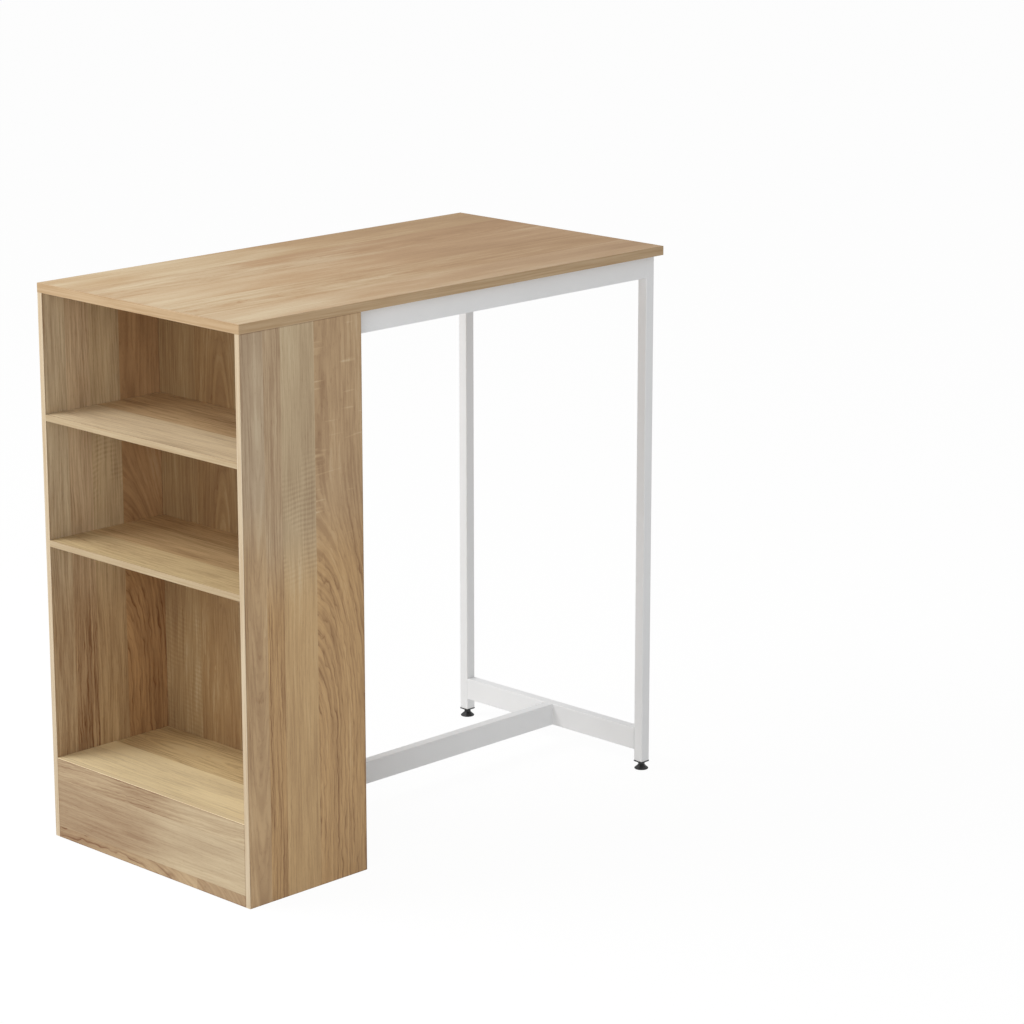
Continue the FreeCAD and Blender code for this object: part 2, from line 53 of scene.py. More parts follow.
def linear(hexColour):
    # sRGB hex to linear: a straight line up to the knee, a power past it
    shares = np.array([int(hexColour[place:place + 2], 16) for place in (1, 3, 5)]) / 255
    curved = ((shares + srgb["offset"]) / (1 + srgb["offset"])) ** srgb["power"]
    values = np.where(shares <= srgb["knee"], shares / srgb["slope"], curved)
    return (*values.tolist(), 1.0)


def addNode(tree, kind, links=None, stops=None, blend="LINEAR", **settings):
    # an input takes a plain value, a node (its first output) or a pair of node and output
    made = tree.nodes.new("ShaderNode" + kind)
    for setting, value in settings.items():
        setattr(made, setting, value)
    if stops:
        made.color_ramp.interpolation = blend
        while len(made.color_ramp.elements) < len(stops):
            made.color_ramp.elements.new(1.0)
        for element, (position, colour) in zip(made.color_ramp.elements, stops):
            element.position = position
            element.color = colour
    for socket, source in (links or {}).items():
        if isinstance(source, bpy.types.Node):
            tree.links.new(source.outputs[0], made.inputs[socket])
        elif isinstance(source, tuple) and isinstance(source[0], bpy.types.Node):
            tree.links.new(source[0].outputs[source[1]], made.inputs[socket])
        else:
            made.inputs[socket].default_value = source
    return made


def maths(tree, operation, *values, **settings):
    # one step of arithmetic on single numbers, its inputs in order
    return addNode(tree, "Math", dict(enumerate(values)), operation=operation, **settings)


def vectors(tree, operation, *values):
    # one step of arithmetic on triples of numbers, its inputs in order
    return addNode(tree, "VectorMath", dict(enumerate(values)), operation=operation)


def ranged(tree, value, source=(0.0, 1.0), target=(0.0, 1.0), shape="LINEAR"):
    # a value carried from one range to another and held at its ends
    ends = {"From Min": source[0], "From Max": source[1], "To Min": target[0], "To Max": target[1]}
    return addNode(tree, "MapRange", {"Value": value, **ends}, interpolation_type=shape)


def mixed(tree, share, first, second):
    # two colours mixed by a share: a Mix node has its colours in sockets 6 and 7, the result in 2
    return (addNode(tree, "Mix", {0: share, 6: first, 7: second}, data_type="RGBA"), 2)


def noise(tree, place, length, width, detail, roughness=0.5):
    # soft random spots of this length and width
    scaled = vectors(tree, "DIVIDE", place, (length, width, width))
    return addNode(
        tree, "TexNoise", {"Vector": scaled, "Scale": 1.0, "Detail": detail, "Roughness": roughness}
    )


def placeInMm(tree):
    place = addNode(tree, "TexCoord")
    return addNode(tree, "VectorMath", {0: (place, "Object"), "Scale": mm}, operation="SCALE")


def seenStraight(tree):
    # one for rays from the camera, from a gloss or through glass, nought for the others
    rays = addNode(tree, "LightPath")
    seen = maths(tree, "MAXIMUM", (rays, "Is Camera Ray"), (rays, "Is Glossy Ray"))
    return maths(tree, "MAXIMUM", seen, (rays, "Is Transmission Ray"))


def newMaterial(name):
    material = bpy.data.materials.new(name)
    material.use_nodes = True
    material.node_tree.nodes.clear()
    return material, material.node_tree


def raised(tree, height, relief, depth, invert=False):
    # a surface that a pattern lifts, or inverted cuts into, by a depth in mm
    links = {"Strength": relief, "Distance": depth / mm, "Height": height}
    return addNode(tree, "Bump", links, invert=invert)


def addSkin(tree, links):
    # the surface shader with these inputs
    addNode(tree, "OutputMaterial", {0: addNode(tree, "BsdfPrincipled", links)})


def dress(material, *names):
    # every face of these CAD nodes takes the one material
    for name in names:
        nodes[name].data.materials.clear()
        nodes[name].data.materials.append(material)


# Camera: the photograph's view, worked out from its straight edges
camera = dict(place=(-4.347, -4.674, 2.231), yaw=45.51, pitch=14.46, lens=120.6, sensor=36.0)
cameraData = bpy.data.cameras.new("photoCamera")
cameraData.lens = camera["lens"]
cameraData.sensor_width = camera["sensor"]
cameraObject = bpy.data.objects.new("photoCamera", cameraData)
cameraObject.location = camera["place"]
cameraObject.rotation_euler = (math.radians(90 - camera["pitch"]), 0, -math.radians(camera["yaw"]))
scene.collection.objects.link(cameraObject)
scene.camera = cameraObject
print("camera set")

# Light: a big soft box behind on the open side, a weak one before it, and an even white room
softBoxes = {
    "keyBox": dict(place=(-2.6, 2.0, 3.7), aim=(0.1, 0, 0.5), size=2.4, watts=126),
    "fillBox": dict(place=(-3.6, -2.6, 1.9), aim=(-0.2, 0, 0.5), size=2.4, watts=45),
}
room = dict(colour="#FFFFFF", ambient=0.5, white=1.0)
for name, box in softBoxes.items():
    lampData = bpy.data.lights.new(name, "AREA")
    lampData.size = box["size"]
    lampData.energy = box["watts"]
    lamp = bpy.data.objects.new(name, lampData)
    lamp.location = box["place"]
    # a lamp shines straight down: it is tilted up from there, then turned to its aim
    offset = np.subtract(box["aim"], box["place"])
    tilt = math.atan2(math.hypot(offset[0], offset[1]), -offset[2])
    heading = math.atan2(offset[1], offset[0]) - math.pi / 2
    lamp.rotation_euler = (tilt, 0, heading)
    scene.collection.objects.link(lamp)

# the room is plain white where it is seen straight, in a gloss or through glass
world = bpy.data.worlds.new("whiteRoom")
world.use_nodes = True
tree = world.node_tree
tree.nodes.clear()
strength = ranged(tree, seenStraight(tree), target=(room["ambient"], room["white"]))
sky = addNode(tree, "Background", {"Color": linear(room["colour"]), "Strength": strength})
addNode(tree, "OutputWorld", {"Surface": sky})
scene.world = world
print("light set")

# Floor: a flat white studio floor
# seen straight it is mostly its own white glow, and keeps part of the shadow
floor = dict(half=40.0, colour="#F6F6F5", light="#FFFFFF", glow=1.014, glowShare=0.94)
corners = floor["half"] * np.array([(-1, -1, 0), (1, -1, 0), (1, 1, 0), (-1, 1, 0)])
floorMesh = bpy.data.meshes.new("studioFloor")
floorMesh.from_pydata(corners.tolist(), [], [(0, 1, 2, 3)])
floorObject = bpy.data.objects.new("studioFloor", floorMesh)
scene.collection.objects.link(floorObject)
material, tree = newMaterial("studioFloorPaint")
paint = addNode(tree, "BsdfDiffuse", {"Color": linear(floor["colour"])})
glow = addNode(tree, "Emission", {"Color": linear(floor["light"]), "Strength": floor["glow"]})
share = maths(tree, "MULTIPLY", seenStraight(tree), floor["glowShare"])
addNode(tree, "OutputMaterial", {0: addNode(tree, "MixShader", {0: share, 1: paint, 2: glow})})
floorMesh.materials.append(material)
print("floor set")

# Oak foil boards
# The boards are particle board under a printed melamine foil: sawn oak staves side by side, each with
# its own colour, growth rings cut as straight lines or arches, cross saw ripple and short pale rays.
# The foil gives the eye soft brown lines on tan, a dull gloss and hardly any relief.
# a pattern has a length along the grain and a width across it, in mm, and its fineness
flatPatterns = dict(
    sway=(320.0, 95.0, 1.0),    # wander of the rings
    waver=(36.0, 16.0, 1.0),    # small bends in a ring
    jitter=(21.0, 8.0, 1.0),    # raggedness of every line
    gap=(70.0, 16.0, 1.0),      # stretches in which a ring is faint
    cloud=(300.0, 60.0, 2.0),   # lighter and darker patches
    ray=(6.5, 78.0, 0.0),       # pale rays, which lie across the grain
    ripple=(80.0, 48.0, 1.0),   # patches of saw marks
)
# these run along the rings
curvedPatterns = dict(
    wide=(280.0, 10.0, 1.0),    # broad streaks
    fine=(110.0, 3.0, 2.5),     # thin streaks
    pore=(15.0, 1.2, 2.0),      # open pores, drawn wider than real to show
)
# where a pattern begins and where it is full, then what it begins from
levels = dict(
    wide=((0.35, 0.7), -0.35), fine=((0.41, 0.61), -0.45), pore=((0.56, 0.7), 0.0),
    cloud=((0.3, 0.7), -0.5), gap=((0.34, 0.6), 0.3), ray=((0.7, 0.84), 0.0),
)
foil = dict(
    boardStep=640.0,            # how far apart two boards lie in the patterns, mm
    staveStep=3100.0,           # how far apart two staves lie in them, mm
    jointStep=0.47,             # how far off the piece past a joint lies, in such steps
    swayReach=18.0,             # how far the rings wander, mm
    jitterReach=3.6,            # how far a line is ragged, mm
    waverReach=1.3,             # how far a ring bends, in rings
    core=4.0,                   # how blunt the tip of an arch is, mm
    archBlend=40.0,             # over how much arches give way to straight lines, mm
    ringPower=(0.25, 1.0),      # the weakest and the strongest ring
    figureLeft=0.15,            # the share of the figure that is left past fade
    wideShare=0.8,              # weight of the broad streaks beside the thin ones
    rippleStep=9.2,             # spacing of the saw marks, mm
    rippleRise=0.12,            # rise of the saw marks for each mm across the board, mm
    rippleBend=24.0,            # how far the saw marks bend, mm
    rippleLevel=(0.4, 0.6),     # where their pattern begins and where it is full
    rippleEnd=35.0,             # over what length they begin and end, mm each way
    seam=(0.5, 1.7),            # from full to no darkness of the glue line and painted seam shade at a board's edges, mm
    dulling=(-0.03, 0.15),      # change of roughness from plain wood to a dark line
    ior=1.5,
    relief=0.3,
    reliefDepth=0.12,           # mm
    brown="#775130",
    pale="#E4D8B8",
    golden="#C99C5C",
)
# darkness over one ring, from its dark line to the next
ringTones = ((0.0, 1.0), (0.12, 0.58), (0.36, 0.16), (0.68, 0.0), (0.91, 0.14), (1.0, 1.0))
# how much each layer adds to the tone: above nought towards brown, below it towards pale
toneWeights = dict(
    rings=0.76, streaks=0.4, pore=0.17, cloud=0.24, ripple=0.2,
    stain=0.4, shade=1.0, seam=0.4, rays=-0.55,
)
# what a stave can set, with its lowest and highest value; places and sizes in mm from a board's low corner
staveRanges = dict(
    seed=(0, 40), heart=(-400, 900), apex=(-900, 2000), taper=(-0.5, 0.5),
    rings=(0, 1), spacing=(4, 30), ripple=(0, 1), streaks=(0, 1),
    rays=(0, 1), reach=(0, 1000), fade=(-500, 2500), golden=(0, 1),
    rippleAt=(-500, 2500), rippleSpan=(0, 2000), joint=(-500, 2500), stain=(0, 1),
    shade=(-1, 1), soft=(0, 1000),
)
# from apex on, rings up to the radius reach close into arches, up the board or, with a negative taper,
# down it; rings, gold and shade stop at fade, over the length soft each way, and rays begin there;
# ripple lies within rippleSpan of rippleAt; past joint the stave goes on as another piece, browner by stain
plainStave = dict(
    apex=0, taper=0.02, spacing=10, rings=0.35, ripple=0.0, streaks=0.6, rays=0.0, reach=1000, fade=2500,
    golden=0.2, rippleAt=500, rippleSpan=2000, joint=2500, stain=0.0, shade=0.0, soft=90,
)
perRamp = 4    # values in a ramp: its red, green, blue and alpha


def staveValues(tree, across, width, staves):
    # the staves as stepped ramps over the width of the board
    share = ranged(tree, across, (0.0, width))
    filled = [dict(plainStave, seed=number, **stave) for number, stave in enumerate(staves)]
    names = list(staveRanges)
    values = {}
    for first in range(0, len(names), perRamp):
        keys = names[first:first + perRamp]
        stops = []
        for stave in filled:
            shares = [np.interp(stave[key], staveRanges[key], (0, 1)) for key in keys]
            stops.append((stave["start"] / width, shares + [0] * (perRamp - len(keys))))
        ramp = addNode(tree, "ValToRGB", {0: share}, stops=stops, blend="CONSTANT")
        parts = addNode(tree, "SeparateColor", {0: ramp})
        sources = [(parts, "Red"), (parts, "Green"), (parts, "Blue"), (ramp, "Alpha")]
        for key, source in zip(keys, sources):
            values[key] = ranged(tree, source, target=staveRanges[key])
    tints = [(stave["start"] / width, linear(stave["tint"])) for stave in filled]
    tint = addNode(tree, "ValToRGB", {0: share}, stops=tints, blend="CONSTANT")
    return values, (tint, "Color")


def grainNoises(tree, patterns, along, across, depth, apart):
    place = addNode(tree, "CombineXYZ", {0: along, 1: across, 2: depth})
    place = vectors(tree, "ADD", place, (apart, apart, 0.0))
    return {key: noise(tree, place, *pattern) for key, pattern in patterns.items()}


def growthRings(tree, stave, noises, along, across):
    # the distance from the tree's heart: across the board and, past the apex, along it too
    sideways = maths(tree, "SUBTRACT", across, stave["heart"])
    sideways = maths(tree, "MULTIPLY_ADD", noises["sway"], foil["swayReach"], sideways)
    sideways = maths(tree, "MULTIPLY_ADD", noises["jitter"], foil["jitterReach"], sideways)
    rise = maths(tree, "SUBTRACT", along, stave["apex"])
    leaning = maths(tree, "MULTIPLY", rise, stave["taper"])
    leaning = maths(tree, "MAXIMUM", leaning, 0.0)
    leaning = maths(tree, "SMOOTH_MIN", leaning, stave["reach"], foil["archBlend"])
    fromHeart = addNode(tree, "CombineXYZ", {0: sideways, 1: leaning, 2: foil["core"]})
    radius = (vectors(tree, "LENGTH", fromHeart), "Value")

    # cut into rings, each with its own strength
    count = maths(tree, "DIVIDE", radius, stave["spacing"])
    count = maths(tree, "MULTIPLY_ADD", noises["waver"], foil["waverReach"], count)
    greys = [(place, (grey, grey, grey, 1)) for place, grey in ringTones]
    rings = addNode(tree, "ValToRGB", {0: maths(tree, "FRACT", count)}, stops=greys)
    chance = addNode(tree, "TexWhiteNoise", {"W": maths(tree, "FLOOR", count)}, noise_dimensions="1D")
    power = ranged(tree, (chance, "Value"), target=foil["ringPower"])
    return maths(tree, "MULTIPLY", rings, power), radius


def sawRipple(tree, stave, noises, along, across):
    # even waves across the grain, in patches
    marks = maths(tree, "MULTIPLY_ADD", across, -foil["rippleRise"], along)
    marks = maths(tree, "MULTIPLY_ADD", noises["sway"], foil["rippleBend"], marks)
    wave = maths(tree, "MULTIPLY", marks, 2 * math.pi / foil["rippleStep"])
    wave = maths(tree, "SINE", wave)
    patch = ranged(tree, noises["ripple"], foil["rippleLevel"], shape="SMOOTHSTEP")
    patch = maths(tree, "MULTIPLY", patch, stave["ripple"])
    off = maths(tree, "SUBTRACT", along, stave["rippleAt"])
    off = maths(tree, "ABSOLUTE", off)
    inside = maths(tree, "SUBTRACT", stave["rippleSpan"], off)
    inside = ranged(tree, inside, (-foil["rippleEnd"], foil["rippleEnd"]), shape="SMOOTHSTEP")
    patch = maths(tree, "MULTIPLY", patch, inside)
    return maths(tree, "MULTIPLY", wave, patch)


def glueLineAndSeamShade(tree, along, across, length, width):
    # a thin dark line where the foil ends, partly its glue line and partly painted shade in the seam
    # between boards: by the distance from the nearest edge
    rims = []
    for offset, full in ((along, length), (across, width)):
        back = maths(tree, "SUBTRACT", full, offset)
        rims.append(maths(tree, "MINIMUM", offset, back))
    return ranged(tree, maths(tree, "MINIMUM", *rims), foil["seam"], (1.0, 0.0))


def oakFoil(name, node, number, axes, staves, flip=False, gloss=0.48):
    material, tree = newMaterial(name)
    low, high = [mm * np.array(corner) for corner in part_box(node)]
    alongAxis, acrossAxis = ["XYZ".index(letter) for letter in axes[:2]]
    length, width = (high - low)[[alongAxis, acrossAxis]].tolist()

    # the place on the board in mm: along the grain, across it and into it
    local = vectors(tree, "SUBTRACT", placeInMm(tree), low.tolist())
    split = addNode(tree, "SeparateXYZ", {0: local})
    along, across, depth = [(split, letter) for letter in axes]
    if flip:
        along = maths(tree, "SUBTRACT", length, along)
    stave, tint = staveValues(tree, across, width, staves)

    # each board and stave reads its own far part of the patterns
    apart = number * foil["boardStep"]
    past = maths(tree, "GREATER_THAN", along, stave["joint"])
    seed = maths(tree, "MULTIPLY_ADD", past, foil["jointStep"], stave["seed"])
    shifted = maths(tree, "MULTIPLY_ADD", seed, foil["staveStep"], along)
    noises = grainNoises(tree, flatPatterns, shifted, across, depth, apart)
    rings, radius = growthRings(tree, stave, noises, along, across)
    noises.update(grainNoises(tree, curvedPatterns, shifted, radius, depth, apart))
    drawn = {}
    for key, (source, base) in levels.items():
        drawn[key] = ranged(tree, noises[key], source, (base, 1.0))

    # the share of the figure: full up to fade, little past it
    figured = maths(tree, "SUBTRACT", stave["fade"], along)
    figured = maths(tree, "DIVIDE", figured, stave["soft"])
    figured = ranged(tree, figured, (-1.0, 1.0), (foil["figureLeft"], 1.0), "SMOOTHSTEP")
    plain = maths(tree, "SUBTRACT", 1.0, figured)
    for share in (stave["rings"], figured, drawn["gap"]):
        rings = maths(tree, "MULTIPLY", rings, share)
    streaks = maths(tree, "MULTIPLY_ADD", drawn["wide"], foil["wideShare"], drawn["fine"])
    rays = maths(tree, "MULTIPLY", drawn["ray"], stave["rays"])
    layers = dict(
        rings=rings,
        streaks=maths(tree, "MULTIPLY", streaks, stave["streaks"]),
        pore=drawn["pore"],
        cloud=drawn["cloud"],
        ripple=sawRipple(tree, stave, noises, along, across),
        stain=maths(tree, "MULTIPLY", past, stave["stain"]),
        shade=maths(tree, "MULTIPLY", figured, stave["shade"]),
        seam=glueLineAndSeamShade(tree, along, across, length, width),
        rays=maths(tree, "MULTIPLY", rays, plain),
    )
    tone = 0.0
    for key, layer in layers.items():
        tone = maths(tree, "MULTIPLY_ADD", layer, toneWeights[key], tone)
    darker = maths(tree, "MULTIPLY", tone, 1.0, use_clamp=True)
    lighter = maths(tree, "MULTIPLY", tone, -1.0, use_clamp=True)
    warmth = maths(tree, "MULTIPLY", stave["golden"], figured)
    wood = tint
    for share, colour in ((warmth, foil["golden"]), (darker, foil["brown"]), (lighter, foil["pale"])):
        wood = mixed(tree, share, wood, linear(colour))
    rough = ranged(tree, darker, target=[gloss + change for change in foil["dulling"]])
    relief = raised(tree, tone, foil["relief"], foil["reliefDepth"], invert=True)
    addSkin(tree, {"Base Color": wood, "Roughness": rough, "IOR": foil["ior"], "Normal": relief})
    dress(material, node)


# the staves of each board from its low edge: left to right, front to rear or bottom to top
# the top has quieter staves that change slowly along it, and a duller foil
topPlain = dict(rings=0.18, streaks=0.24, soft=420, shade=-0.42)
topArched = dict(topPlain, rings=0.28, streaks=0.32)
boards = dict(
    front_side_panel=dict(axes="ZXY", staves=[
        dict(start=0, tint="#B8A387", heart=44, apex=900, taper=-0.04, rings=0.35, streaks=0.5, fade=690,
             golden=0.42, shade=0.05),
        dict(start=52, tint="#B8A081", heart=-60, spacing=7, rings=1.0, streaks=0.6, fade=600,
             golden=0.62, shade=0.12),
        dict(start=92, tint="#C0AB8A", heart=-140, rings=0.25, streaks=0.35, fade=620, golden=0.55,
             shade=-0.05, ripple=0.52, rippleAt=695, rippleSpan=110),
        dict(start=172, tint="#BC9E79", heart=172, apex=280, taper=0.3, spacing=10, rings=0.95, reach=122,
             streaks=0.5, fade=660, rays=1.0, golden=0.5),
    ]),
    # this panel's staves are paler as painted light of the upper bays, and below fade darker and more
    # golden as painted shade of the lower bay
    rear_side_panel=dict(axes="ZXY", staves=[
        dict(start=0, tint="#CFBE9F", heart=-120, streaks=0.5, fade=480, golden=0.3, shade=0.33),
        dict(start=50, tint="#CDB797", heart=-60, spacing=7, rings=0.9, streaks=0.6, fade=480, golden=0.3,
             shade=0.3),
        dict(start=104, tint="#CCB895", heart=-60, rings=0.2, streaks=0.5, fade=480, golden=0.3,
             shade=0.26, ripple=0.6, rippleAt=705, rippleSpan=66),
        dict(start=176, tint="#BD9A72", heart=176, apex=280, taper=0.3, rings=0.9, reach=122, streaks=0.5,
             fade=600, shade=0.2),
    ]),
    # the back panel's tints are kept darker than the other boards', in part as painted shade at the back of
    # the cabinet
    back_panel=dict(axes="ZYX", staves=[
        dict(start=0, tint="#A7906D", heart=-80, ripple=0.3, rippleAt=800, rippleSpan=150),
        dict(start=108, tint="#A58B68", heart=150, apex=700, taper=-0.05, spacing=13, rings=0.2),
        dict(start=214, tint="#A7916E", heart=500, rings=0.3, ripple=0.35, rippleAt=620, rippleSpan=200),
        dict(start=322, tint="#9F8461", heart=370, apex=200, taper=0.06, spacing=14, rings=0.5),
        dict(start=430, tint="#A58E6C", heart=680, ripple=0.35, rippleAt=300, rippleSpan=180),
    ]),
    tabletop=dict(axes="XYZ", gloss=0.68, staves=[
        dict(topPlain, start=0, tint="#B1916D", heart=-140, fade=430),
        dict(topArched, start=104, tint="#AB8962", heart=160, apex=900, taper=-0.04, spacing=14,
             fade=450),
        dict(topPlain, start=218, tint="#AF8D67", heart=-60, fade=470),
        dict(topArched, start=330, tint="#A9865F", heart=390, apex=200, taper=0.04, spacing=13, fade=430),
        dict(topPlain, start=446, tint="#AE8E66", heart=700, fade=470),
    ]),
    plinth_board=dict(axes="YZX", flip=True, staves=[
        dict(start=0, tint="#BDA47F", heart=0, apex=205, taper=0.28, spacing=15, rings=1.0, streaks=0.35,
             fade=410, golden=0.05, shade=0.22, joint=402, stain=0.55),
        dict(start=22, tint="#BFAB8A", heart=-60, rings=0.15, streaks=0.28, fade=270, golden=0.1,
             shade=0.37),
        dict(start=116, tint="#BEA987", heart=-60, apex=760, taper=-0.11, spacing=8, rings=0.8,
             streaks=0.45, fade=320, golden=0.1, shade=0.31),
    ]),
    # the front staves of the shelves are paler than the rear ones as painted light that falls in at the
    # open front
    upper_shelf=dict(axes="YXZ", staves=[
        dict(start=0, tint="#DFD1B3", heart=-90, rings=0.2, streaks=0.35),
        dict(start=120, tint="#CDB48F", heart=190, apex=300, taper=-0.06, spacing=13, rings=0.5),
    ]),
    middle_shelf=dict(axes="YXZ", staves=[
        dict(start=0, tint="#D3C299", heart=60, apex=200, taper=0.05, spacing=12, rings=0.3, streaks=0.4),
        dict(start=96, tint="#CDB48C", heart=400, streaks=0.5),
        dict(start=198, tint="#C6AA82", heart=240, apex=350, taper=-0.06, spacing=13, rings=0.5),
    ]),
    # the bottom shelf's front stave is paler still, as painted light
    bottom_shelf=dict(axes="YXZ", staves=[
        dict(start=0, tint="#F6E8BE", heart=-90, rings=0.15, streaks=0.25),
        dict(start=130, tint="#E3CFA0", heart=200, apex=150, taper=0.06, spacing=13, rings=0.3),
    ]),
)
for number, (node, board) in enumerate(boards.items(), start=1):
    oakFoil("oakFoil_" + node, node, number, **board)
print("oak foil on", len(boards), "boards")

# Edge banding: ABS strip with a printed oak grain of fine lines along it
# runs and across point along a strip and across it; a line's length and width and the depth are in mm
bandPrint = dict(
    line=dict(length=170.0, width=3.4, detail=3.0, roughness=0.6), level=(0.38, 0.72),
    dull=0.42, ior=1.53, relief=0.2, reliefDepth=0.1,
)


def oakBand(name, node, runs, across, tint, dark):
    material, tree = newMaterial(name)
    place = placeInMm(tree)
    along = (vectors(tree, "DOT_PRODUCT", place, runs), "Value")
    side = (vectors(tree, "DOT_PRODUCT", place, across), "Value")
    grain = addNode(tree, "CombineXYZ", {0: along, 1: side})
    share = ranged(tree, noise(tree, grain, **bandPrint["line"]), bandPrint["level"])
    colour = mixed(tree, share, linear(tint), linear(dark))
    relief = raised(tree, share, bandPrint["relief"], bandPrint["reliefDepth"], invert=True)
    dull, ior = bandPrint["dull"], bandPrint["ior"]
    addSkin(tree, {"Base Color": colour, "Roughness": dull, "IOR": ior, "Normal": relief})
    dress(material, node)


bands = dict(
    tabletop_edge_bands=dict(runs=(1, 1, 0), across=(0, 0, 1), tint="#BDA17C", dark="#A5845A"),
    side_panel_edge_bands=dict(runs=(0, 0, 1), across=(1, 1, 0), tint="#CDBB9E", dark="#B99F7B"),
    shelf_edge_bands=dict(runs=(0, 1, 0), across=(1, 0, 1), tint="#B9A481", dark="#A78D68"),
    plinth_edge_band=dict(runs=(0, 1, 0), across=(1, 0, 1), tint="#E3D1AA", dark="#D6BF97"),
)
for node, band in bands.items():
    oakBand("oakBand_" + node, node, **band)
print("edge banding on", len(bands), "nodes")

# Plain finishes: two colours mixed by a fine pebble and a wide cloud; the pebble also lifts the surface
# grain is the pebble's size in mm, lift its height in mm, rough the roughness of the dark and the light
finishes = {
    # satin white polyester powder coat, sprayed and baked on steel: a faint orange peel in the gloss
    "whitePowderCoat": dict(
        light="#F1F2F3", dark="#EAEBEC", grain=2.2, rough=(0.3, 0.4), metal=0.0, lift=0.03,
        wears=["front_leg", "rear_leg", "upper_cross_rail", "lower_cross_rail", "front_top_rail",
               "rear_top_rail", "foot_stretcher", "rail_end_plates", "top_fixing_tabs"],
    ),
    # black polypropylene, moulded in a spark-eroded tool: an even dull pebble
    "blackPolypropylene": dict(
        light="#1C1C1D", dark="#101011", grain=0.9, rough=(0.42, 0.56), metal=0.0, lift=0.05,
        wears=["front_leg_insert", "rear_leg_insert", "front_foot_pad", "rear_foot_pad"],
    ),
    # white polyethylene cap, moulded: slightly waxy
    "whitePolyethylene": dict(
        light="#EDEDEB", dark="#E6E6E3", grain=1.4, rough=(0.36, 0.46), metal=0.0, lift=0.02,
        wears=["bolt_hole_caps"],
    ),
    # bright zinc on turned steel: cool grey with cloudy patches
    "brightZincPlate": dict(
        light="#C9CCD0", dark="#A9ADB3", grain=1.8, rough=(0.22, 0.38), metal=1.0, lift=0.01,
        wears=["cabinet_frame_bolts", "cabinet_bolt_washers", "leg_frame_bolts", "top_fixing_screws",
               "cam_bolts", "front_insert_bush", "rear_insert_bush"],
    ),
    # zinc with a black passivate on the steel of the levelling feet: nearly black, with a soft gloss
    "blackZincPlate": dict(
        light="#1A1B1D", dark="#0F1011", grain=1.2, rough=(0.3, 0.42), metal=0.0, lift=0.01,
        wears=["front_foot_stud", "rear_foot_stud"],
    ),
    # zinc alloy, die cast and tumbled: duller and darker than plate
    "diecastZinc": dict(
        light="#A7A9AD", dark="#84878C", grain=1.2, rough=(0.4, 0.55), metal=1.0, lift=0.03,
        wears=["cam_locks"],
    ),
    # ABS cover caps in the colour of the foil
    "tanCoverAbs": dict(
        light="#BEA27C", dark="#AE9069", grain=3.0, rough=(0.4, 0.5), metal=0.0, lift=0.02,
        wears=["cam_covers"],
    ),
    # turned beech: pinkish tan, slightly mottled
    "turnedBeech": dict(
        light="#DDBB92", dark="#C79E70", grain=1.5, rough=(0.55, 0.65), metal=0.0, lift=0.04,
        wears=["wood_dowels"],
    ),
}
# a cloud's size is in pebbles
mottle = dict(pebbleDetail=3.0, pebbleShare=0.4, cloudSize=40, cloudDetail=2.0, relief=0.35)


def plainFinish(name, light, dark, grain, rough, metal, lift, wears):
    material, tree = newMaterial(name)
    place = (addNode(tree, "TexCoord"), "Object")
    pebbleScale = mm / grain
    cloudScale = mm / (mottle["cloudSize"] * grain)
    pebble = addNode(
        tree, "TexNoise", {"Vector": place, "Scale": pebbleScale, "Detail": mottle["pebbleDetail"]}
    )
    cloud = addNode(
        tree, "TexNoise", {"Vector": place, "Scale": cloudScale, "Detail": mottle["cloudDetail"]}
    )
    share = maths(tree, "MULTIPLY_ADD", pebble, mottle["pebbleShare"], -mottle["pebbleShare"] / 2)
    share = maths(tree, "ADD", cloud, share, use_clamp=True)
    colour = mixed(tree, share, linear(dark), linear(light))
    dull = ranged(tree, share, target=rough)
    relief = raised(tree, pebble, mottle["relief"], lift)
    addSkin(tree, {"Base Color": colour, "Roughness": dull, "Metallic": metal, "Normal": relief})
    dress(material, *wears)
    return material


skins = {name: plainFinish(name, **finish) for name, finish in finishes.items()}
print("plain finishes:", len(skins))

# Levelling feet: turned pieces, made of rings of points
# a row is a height with one radius, or with one for each side; the first and last rings close on the axis
sides = 48
turn = np.linspace(0, 2 * math.pi, sides, endpoint=False)


def turnedPiece(name, node, rows, smoothRows, skin):
    low, high = [mm * np.array(corner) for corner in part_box(node)]
    axisX, axisY = ((low + high) / 2)[:2]
    heights = np.array([np.full(sides, height) for height, radius in rows])
    radii = np.array([np.broadcast_to(radius, sides) for height, radius in rows])
    points = np.stack([axisX + radii * np.cos(turn), axisY + radii * np.sin(turn), heights], axis=2)
    poles = [(axisX, axisY, rows[0][0]), (axisX, axisY, rows[-1][0])]
    places = np.concatenate([points.reshape(-1, 3), poles]) / mm

    # four-sided faces from ring to ring, then a fan at each end
    side = np.arange(sides)
    after = np.roll(side, -1)
    lower = np.arange(len(rows) - 1)[:, None] * sides
    upper = lower + sides
    quads = np.stack([lower + side, lower + after, upper + after, upper + side], axis=2).reshape(-1, 4)
    last = (len(rows) - 1) * sides
    bottom = np.stack([after, side, np.full_like(side, len(places) - 2)], axis=1)
    top = np.stack([last + side, last + after, np.full_like(side, len(places) - 1)], axis=1)
    mesh = bpy.data.meshes.new(name)
    mesh.from_pydata(places.tolist(), [], quads.tolist() + bottom.tolist() + top.tolist())
    smooth = np.zeros(len(mesh.polygons), dtype=bool)
    smooth[smoothRows[0] * sides:smoothRows[1] * sides] = True
    mesh.polygons.foreach_set("use_smooth", smooth)
    mesh.materials.append(skins[skin])
    piece = bpy.data.objects.new(name, mesh)
    scene.collection.objects.link(piece)
    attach(piece, node)
    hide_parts(node)


